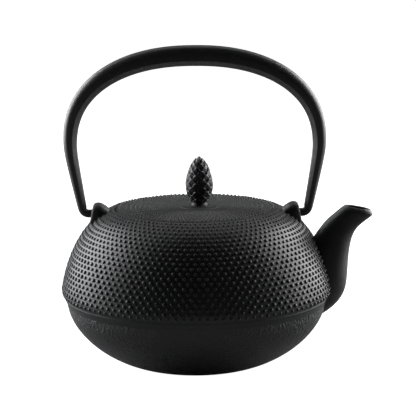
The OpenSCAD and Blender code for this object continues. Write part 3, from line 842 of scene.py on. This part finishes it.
# %% Lid studs
LID_ROWS, LID_FIRST_R, LID_TIGHTER, LID_FADE_R = 14, 50.8, 0.925, 20.0
lid_row_r = LID_FIRST_R * LID_TIGHTER ** np.arange(LID_ROWS)
top_line = lid_line(0, 400)
top_z = np.interp(lid_row_r, top_line[:, 0], top_line[:, 1])
slope = (np.interp(lid_row_r + 0.3, top_line[:, 0], top_line[:, 1]) - top_z) / 0.3
up = 1 / np.hypot(1, slope)
row, turn, pitch, uneven = staggered(lid_row_r, 0.25, 0.06)
fade = np.clip((lid_row_r[row] - LID_FADE_R + 6) / 14, 0.15, 1)
points, faces, wear_and_painted_light = domes(lid_row_r[row], top_z[row], (-slope * up)[row], up[row], turn,
                            0.28 * pitch * uneven, 0.3 * pitch * uneven, 0.3 * pitch * fade * uneven,
                            sides=8)
add_piece("lid_studs", (points, faces), lid_stud_iron, "lid", marks={"wear_and_painted_light": wear_and_painted_light}, off=LID_OFF)

# %% Knob seat
SEAT_R, SEAT_TOP = corners("knob_seat")[1][0], corners("knob_seat")[1][2]
seat = rounded([[STUD_HOLE_R, LID_TOP - 0.2], [SEAT_R, LID_TOP - 0.2], [SEAT_R - 0.6, LID_TOP + 0.3],
                [SEAT_R - 2.6, LID_TOP + 0.36], [SEAT_R - 3.4, LID_TOP + 0.24], [8.6, LID_TOP + 0.4],
                [6.8, SEAT_TOP], [STUD_HOLE_R, SEAT_TOP]], [0.1, 0.2, 0.6, 0.6, 0.5, 0.8, 0.3, 0.1], 3)
add_piece("knob_seat_cast", turned(seat, 96), seat_iron, "lid", ["knob_seat"], off=KNOB_OFF)

# %% [markdown]
# ## The pine cone knob
#
# The knob is an egg on a short neck, covered with overlapping scales that point to its tip. Each
# scale rises out from under the ones below it and ends in a round free edge, so a point's height
# over the egg is the greatest of the scales that cover it. The scales' rows are set half a scale
# round from each other and get shorter towards the tip. Two low seams run up it where the halves of
# its mould met.

# %% Egg
KNOB_FOOT_Z, NECK_Z, KNOB_WIDE_Z, NECK_R, FOOT_R = LID_TOP + 1.0, 109.2, 120.6, 4.4, 5.6
KNOB_TIP_Z = KNOB_TOP + 1.5
SCALES_ROUND, SCALE_RISE = 8, 1.1
SEAM_TURN, SEAM_RISE, SEAM_WIDE = 4.5, 0.7, 0.32
STUD_TOP_Z, STUD_LOW_Z, STUD_R = 117.0, 95.6, 2.5
BORE_R = STUD_R + 0.05


def egg_radius(z):
    """Radius of the knob under its scales. With t the share of the way to the neck, it is
    neck + (wide - neck)(1 - t^2)^0.7 below the widest place, and wide (1 - t^1.8)^0.65, t the
    share of the way to the tip, above it."""
    t = np.clip((KNOB_WIDE_Z - z) / (KNOB_WIDE_Z - NECK_Z), 0, 1)
    low = NECK_R + (KNOB_R - NECK_R) * (1 - t**2) ** 0.7
    t = np.clip((z - KNOB_WIDE_Z) / (KNOB_TIP_Z - KNOB_WIDE_Z), 0, 1)
    high = KNOB_R * (1 - t**1.8) ** 0.65
    return np.where(z < KNOB_WIDE_Z, low, high)


egg_a = np.linspace(0, math.pi / 2, 76)
egg_low_z = KNOB_WIDE_Z - (KNOB_WIDE_Z - NECK_Z) * np.cos(egg_a)
egg_b = np.linspace(0, math.pi / 2, 112)[1:-1]
egg_z = np.concatenate([egg_low_z, KNOB_WIDE_Z + (KNOB_TIP_Z - KNOB_WIDE_Z) * np.sin(egg_b)])
egg_r = egg_radius(egg_z)
egg_arc = np.concatenate([[0], np.cumsum(np.hypot(np.diff(egg_r), np.diff(egg_z)))])

# %% Scales
# The tips of a row of scales lie at tip_arc, and its scales are row_long from tip to tip
row_long = np.array([2.1, 2.3, 2.5, 2.7, 2.8, 2.8, 2.7, 2.6, 2.5, 2.4, 2.3, 2.1, 1.9])
tip_arc = 2.2 + np.concatenate([[0], np.cumsum(row_long)])[:len(row_long)]
turn = np.linspace(0, 2 * np.pi, 176, endpoint=False)
cover = np.zeros((len(egg_z), len(turn)))
# A narrow band along each scale's free edge is marked for the lighter colour: a painted highlight on the
# rims.
painted_rim_highlight = np.zeros((len(egg_z), len(turn)))
scale_luck = np.random.default_rng(11).uniform(-1, 1, (2, len(row_long), SCALES_ROUND))
for k, (tip, long_k) in enumerate(zip(tip_arc, row_long)):
    scale_at = turn * SCALES_ROUND / (2 * np.pi) + 0.5 * (k % 2) + 0.25
    across = scale_at % 1 * 2 - 1
    longer, taller = scale_luck[:, k, (scale_at % SCALES_ROUND).astype(int)]
    free_edge = tip + (0.35 + 0.12 * longer) * long_k - 1.25 * long_k * np.abs(across) ** 1.9
    back = (egg_arc[:, None] - free_edge) / long_k
    rise = np.clip(1 + back / 1.9, 0, 1) ** 1.1 * (1 - 0.3 * np.abs(across) ** 1.2) * (1 + 0.13 * taller)
    edge = 1 / (1 + np.exp(np.clip(back * long_k / 0.07, -40, 40)))
    on_top = rise * edge >= cover
    painted_rim_highlight = np.where(on_top, np.exp(-((back * long_k + 0.15) / 0.2) ** 2), painted_rim_highlight)
    cover = np.maximum(cover, rise * edge)
near_end = np.clip(egg_arc / 2.0, 0, 1) * np.clip((egg_arc[-1] - egg_arc) / 3.0, 0.1, 1)
relief = SCALE_RISE * (cover - 0.55) * near_end[:, None]
from_seam = np.abs((turn - SEAM_TURN + np.pi / 2) % np.pi - np.pi / 2)
relief += SEAM_RISE * (np.exp(-from_seam / SEAM_WIDE) - 0.3) * near_end[:, None]
scaled_r = egg_r[:, None] + relief * np.gradient(egg_z, egg_arc)[:, None]
scaled_z = egg_z[:, None] - relief * np.gradient(egg_r, egg_arc)[:, None]

# %% Foot, hole and the knob's whole skin
foot = rounded([[BORE_R, KNOB_FOOT_Z], [FOOT_R, KNOB_FOOT_Z], [FOOT_R - 0.3, KNOB_FOOT_Z + 0.9],
                [NECK_R + 0.3, NECK_Z - 0.8], [NECK_R, NECK_Z]], [0, 0.3, 0.7, 0.8, 0], 4, closed=False)[4:-4]
hole = np.array([[0.4, STUD_TOP_Z], [BORE_R, STUD_TOP_Z], [BORE_R, STUD_TOP_Z - 4],
                 [BORE_R, KNOB_FOOT_Z + 3], [BORE_R, KNOB_FOOT_Z]])
plain = np.concatenate([hole, foot])
plain_r = np.repeat(plain[:, :1], len(turn), 1)
plain_z = np.repeat(plain[:, 1:], len(turn), 1)
all_r, all_z = np.concatenate([plain_r, scaled_r]), np.concatenate([plain_z, scaled_z])
knob_grid = around(all_r, turn, all_z)
knob_painted_highlight = np.concatenate([0 * plain_r, painted_rim_highlight])


def is_foot(middles):
    """Faces of the plain foot and neck, which are dull like the seat below them."""
    return middles[:, 2] < NECK_Z


add_piece("pine_cone_knob",
          closed_skin(knob_grid, [0, 0, STUD_TOP_Z], [0, 0, scaled_z[-1].mean() + 0.05]), knob_iron,
          "lid", ["knob"], marks={"wear_and_painted_light": np.append(knob_painted_highlight.ravel(), [0, 0.5])},
          zones=[(seat_iron, is_foot)], off=KNOB_OFF)

# %% [markdown]
# ## The fasteners under the lid
#
# A threaded stud comes down from the knob through the lid, and a washer and a hexagon nut hold it.
# The thread is a real helix: its radius follows a wave that climbs one pitch for each turn. The
# nut's outline is a hexagon whose corners are cut by a cone at both ends.

# %% Threaded stud, washer and nut
THREAD_PITCH, THREAD_DEEP = 0.8, 0.28
WASHER_H, WASHER_R, NUT_H, NUT_HALF = 1.0, 6.0, 4.0, 4.0
turn = np.linspace(0, 2 * np.pi, 40, endpoint=False)
climb = np.linspace(STUD_LOW_Z + 0.25, STUD_TOP_Z - 0.2, 190)[:, None]
wave = np.abs(((climb / THREAD_PITCH - turn / (2 * np.pi)) % 1) * 2 - 1)
ends = np.clip(np.minimum(climb - STUD_LOW_Z, STUD_TOP_Z - climb) / 0.8, 0, 1)
thread_r = STUD_R - THREAD_DEEP * (1 - ends * wave)
surface = closed_skin(around(thread_r, turn, climb), [0, 0, STUD_LOW_Z], [0, 0, STUD_TOP_Z - 0.1])
add_piece("threaded_stud", surface, fastener_steel, "lid", ["knob_stud"], crease=50,
          off=KNOB_OFF)

washer_z = LID_UNDER_Z - WASHER_H
washer = rounded([[STUD_R + 0.1, washer_z], [WASHER_R, washer_z], [WASHER_R, LID_UNDER_Z],
                  [STUD_R + 0.1, LID_UNDER_Z]], [0.15, 0.3, 0.3, 0.15], 3)
add_piece("washer", turned(washer, 64), fastener_steel, "lid", ["knob_washer"], crease=50,
          off=KNOB_OFF)

turn = np.linspace(0, 2 * np.pi, 96, endpoint=False)
hexagon = NUT_HALF / np.cos((turn + np.pi / 6) % (np.pi / 3) - np.pi / 6)
cone_r, low, high = NUT_HALF * 0.96, washer_z - NUT_H, washer_z
cut = np.maximum(0, hexagon - cone_r) * math.tan(math.radians(30))
rows = [(BORE_R + 0 * turn, low + 0.5 + 0 * turn), (STUD_R + 0.5 + 0 * turn, low + 0 * turn),
        (cone_r + 0 * turn, low + 0 * turn), (hexagon, low + cut), (hexagon, high - cut),
        (cone_r + 0 * turn, high + 0 * turn), (STUD_R + 0.5 + 0 * turn, high + 0 * turn),
        (BORE_R + 0 * turn, high - 0.5 + 0 * turn)]
nut = np.stack([around(r, turn, z) for r, z in rows])
add_piece("hex_nut", (nut.reshape(-1, 3), grid_faces(*nut.shape[:2], wrap_rows=True).tolist()),
          fastener_steel, "lid", ["knob_nut"], crease=25, off=KNOB_OFF)

# %% [markdown]
# ## The strainer
#
# The strainer hangs by its rim on the ledge in the mouth. Its wall and its floor are perforated
# sheet, with a real hole in every cell. One cell is a square ring of eight faces round an octagonal
# hole, repeated over a flat sheet of cells that is then rolled up or pressed round. The sheet gets
# its thickness last: every open edge, holes included, is joined to its copy on the other side.

# %% Perforated sheet


def perforated(across, down, hole, place, thick, wrap=False):
    """Cells with holes, laid out by place(u, v) -> (points, normals) and then given a thickness.
    Corners and edge middles of neighbouring cells are one point: each is named by twice its place
    on the sheet, a whole number, and repeats are merged."""
    i, j = np.meshgrid(np.arange(across), np.arange(down), indexing="ij")
    origin = np.stack([i.ravel(), j.ravel()], -1)[:, None]
    edge = np.array([[0, 0], [1, 0], [2, 0], [2, 1], [2, 2], [1, 2], [0, 2], [0, 1]])
    way = np.arctan2(edge[:, 1] - 1, edge[:, 0] - 1)
    ring = 0.5 + hole * np.stack([np.cos(way), np.sin(way)], -1)
    outer = origin * 2 + edge
    if wrap:
        outer[..., 0] %= 2 * across
    names = outer[..., 0] * (2 * down + 1) + outer[..., 1]
    kept, where = np.unique(names, return_inverse=True)
    where = where.reshape(names.shape)
    sheet = np.stack([kept // (2 * down + 1), kept % (2 * down + 1)], -1) / 2
    inner = (origin + ring).reshape(-1, 2)
    inner_id = len(kept) + np.arange(len(inner)).reshape(names.shape)
    k = np.arange(8)
    quads = np.stack([where[:, k], where[:, (k + 1) % 8], inner_id[:, (k + 1) % 8], inner_id[:, k]], -1)
    quads = quads.reshape(-1, 4)
    uv = np.concatenate([sheet, inner])
    points, normals = place(uv[:, 0] / across, uv[:, 1] / down)
    both = np.concatenate([points, points - normals * thick])
    count = len(points)
    sides = np.concatenate([quads[:, [m, (m + 1) % 4]] for m in range(4)])
    code = np.minimum(sides[:, 0], sides[:, 1]) * count + np.maximum(sides[:, 0], sides[:, 1])
    _, first, times = np.unique(code, return_index=True, return_counts=True)
    open_edge = sides[first[times == 1]]
    walls = np.stack([open_edge[:, 1], open_edge[:, 0], open_edge[:, 0] + count, open_edge[:, 1] + count], -1)
    return both, np.concatenate([quads, quads[:, ::-1] + count, walls]).tolist()


# %% Collar, wall, floor and foot ring
COLLAR_R, SHEET, COLLAR_LOW_Z, RIM_R = 47.3, 0.6, 86.0, 52.5
FLOOR_Z, FOOT_H, LOW_R = 36.0, 5.0, 42.0
collar = rounded([[COLLAR_R - SHEET, COLLAR_LOW_Z], [COLLAR_R, COLLAR_LOW_Z], [COLLAR_R, LEDGE_Z],
                  [RIM_R, LEDGE_Z], [RIM_R, LEDGE_Z + 0.8], [COLLAR_R - SHEET, LEDGE_Z + 0.8]],
                 [0.1, 0.1, 0.35, 0.35, 0.35, 1.0], 4)
add_piece("infuser_collar_rolled", turned(collar, 192), infuser_steel, "infuser",
          ["infuser_collar"], crease=50)


def wall_place(u, v):
    """The sheet rolled into a slightly tapered pipe; each row of cells is turned half a cell."""
    turn = 2 * np.pi * (u + 0.5 * v * WALL_ROWS / WALL_ROUND)
    z = FLOOR_Z + FOOT_H - 0.5 + v * (COLLAR_LOW_Z + 1.0 - FLOOR_Z - FOOT_H)
    rise = np.clip((z - FLOOR_Z - FOOT_H) / (COLLAR_LOW_Z - FLOOR_Z - FOOT_H), 0, 1)
    r = LOW_R + (COLLAR_R - LOW_R) * rise - 0.02
    return around(r, turn, z), around(1, turn, 0)


def floor_place(u, v):
    """A square sheet pressed round: x = a sqrt(1 - b^2/2), y = b sqrt(1 - a^2/2), a and b in -1..1."""
    a, b = 2 * u - 1, 2 * v - 1
    r = LOW_R - SHEET
    points = np.stack([r * a * np.sqrt(1 - b**2 / 2), r * b * np.sqrt(1 - a**2 / 2),
                       FLOOR_Z + 2 * SHEET + 0 * a], -1)
    return points, np.stack([0 * a, 0 * a, 1 + 0 * a], -1)


WALL_ROUND, WALL_ROWS, FLOOR_CELLS = 96, 16, 26
add_piece("infuser_mesh_wall", perforated(WALL_ROUND, WALL_ROWS, 0.27, wall_place, SHEET - 0.05, wrap=True),
          infuser_steel, "infuser", ["infuser_wall"], crease=50)
add_piece("infuser_mesh_floor", perforated(FLOOR_CELLS, FLOOR_CELLS, 0.25, floor_place, SHEET),
          infuser_steel, "infuser", ["infuser_floor"], crease=50)
foot_ring = rounded([[LOW_R - 4, FLOOR_Z], [LOW_R, FLOOR_Z], [LOW_R, FLOOR_Z + FOOT_H],
                     [LOW_R - SHEET, FLOOR_Z + FOOT_H], [LOW_R - SHEET, FLOOR_Z + SHEET],
                     [LOW_R - 4, FLOOR_Z + SHEET]], [0.25, 0.8, 0.25, 0.25, 0.4, 0.25], 3)
add_piece("infuser_foot_ring_rolled", turned(foot_ring, 192), infuser_steel, "infuser",
          ["infuser_foot_ring"], crease=50)

# %% [markdown]
# ## The studio
#
# The pot stands on a pale floor in a white room. Black satin iron shows little of its own colour:
# what the eye sees is the reflection of large soft lamps. Two wide lamps stand to the left and the
# right and a little behind, and reach from the floor to about a metre up. A weak one hangs above, and
# nothing stands at the camera's side, so the front stays dark while both flanks and the lid are lit.

# %% Floor
FLOOR_HALF = 15.0
floor_material, floor_tree, floor_shader = new_material("pale_floor")
floor_seen = add_node(floor_tree, "ShaderNodeLightPath").outputs["Is Camera Ray"]
feed(floor_tree, floor_shader, {
    "Roughness": 0.8, "Specular IOR Level": 0.0, "Emission Strength": 1.0,
    "Base Color": mix_node(floor_tree, floor_seen, (0.3, 0.3, 0.3, 1), (0.5, 0.5, 0.5, 1)),
    "Emission Color": mix_node(floor_tree, floor_seen, (0, 0, 0, 1), (1, 1, 1, 1))})
floor_mesh = bpy.data.meshes.new("floor")
floor_mesh.from_pydata([(-FLOOR_HALF, -FLOOR_HALF, 0), (FLOOR_HALF, -FLOOR_HALF, 0),
                        (FLOOR_HALF, FLOOR_HALF, 0), (-FLOOR_HALF, FLOOR_HALF, 0)], [], [(0, 1, 2, 3)])
floor_mesh.materials.append(floor_material)
floor = bpy.data.objects.new("floor", floor_mesh)
bpy.context.scene.collection.objects.link(floor)

# %% Room
world = bpy.data.worlds.new("white_room")
bpy.context.scene.world = world
world.use_nodes = True
room = world.node_tree
seen = add_node(room, "ShaderNodeLightPath").outputs["Is Camera Ray"]
to_camera = add_node(room, "ShaderNodeBackground", {"Color": (1, 1, 1, 1), "Strength": 1.0})
to_pot = add_node(room, "ShaderNodeBackground", {"Color": (0.9, 0.92, 1, 1), "Strength": 0.03})
pick = add_node(room, "ShaderNodeMixShader", {0: seen, 1: to_pot.outputs[0], 2: to_camera.outputs[0]})
feed(room, room.nodes["World Output"], {"Surface": pick.outputs[0]})

# %% Lamps


def lamp(name, place, aim, size, watts, colour=(1, 1, 1)):
    """A rectangular soft lamp at place, turned to face aim. All in metres."""
    data = bpy.data.lights.new(name, "AREA")
    data.shape, data.size, data.size_y = "RECTANGLE", size[0], size[1]
    data.energy, data.color = watts, colour
    light = bpy.data.objects.new(name, data)
    light.location = place
    light.rotation_euler = (Vector(aim) - Vector(place)).to_track_quat("-Z", "Y").to_euler()
    light.visible_camera = False
    bpy.context.scene.collection.objects.link(light)
    print(f"{name}: {watts} W over {size[0]} x {size[1]} m")
    return light


lamp("left_lamp", (-1.08, 0.5, 0.46), (0, 0, 0.08), (1.1, 1.15), 33, (0.97, 0.97, 1.0))
lamp("right_lamp", (1.02, 0.58, 0.48), (0, 0, 0.08), (1.0, 1.15), 29)
lamp("top_lamp", (-0.1, 0.55, 1.25), (0, 0, 0.1), (1.6, 0.9), 4)

# %% [markdown]
# ## The camera
#
# A long lens from a little above, so the lid shows as a thin ellipse and the bail hardly narrows
# towards its far side.

# %% Camera
CAMERA_AT = (0.0081, -1.1595, 0.3121)
CAMERA_DOWN, CAMERA_ROLL, LENS = 10.171, -0.42, 152.2
camera_data = bpy.data.cameras.new("camera")
camera_data.lens = LENS
camera_data.sensor_width = 36.0
camera = bpy.data.objects.new("camera", camera_data)
camera.location = CAMERA_AT
tilt = Matrix.Rotation(math.radians(90 - CAMERA_DOWN), 3, "X")
camera.rotation_euler = (tilt @ Matrix.Rotation(math.radians(CAMERA_ROLL), 3, "Z")).to_euler()
bpy.context.scene.collection.objects.link(camera)
bpy.context.scene.camera = camera
bpy.context.scene.view_settings.view_transform = "Standard"
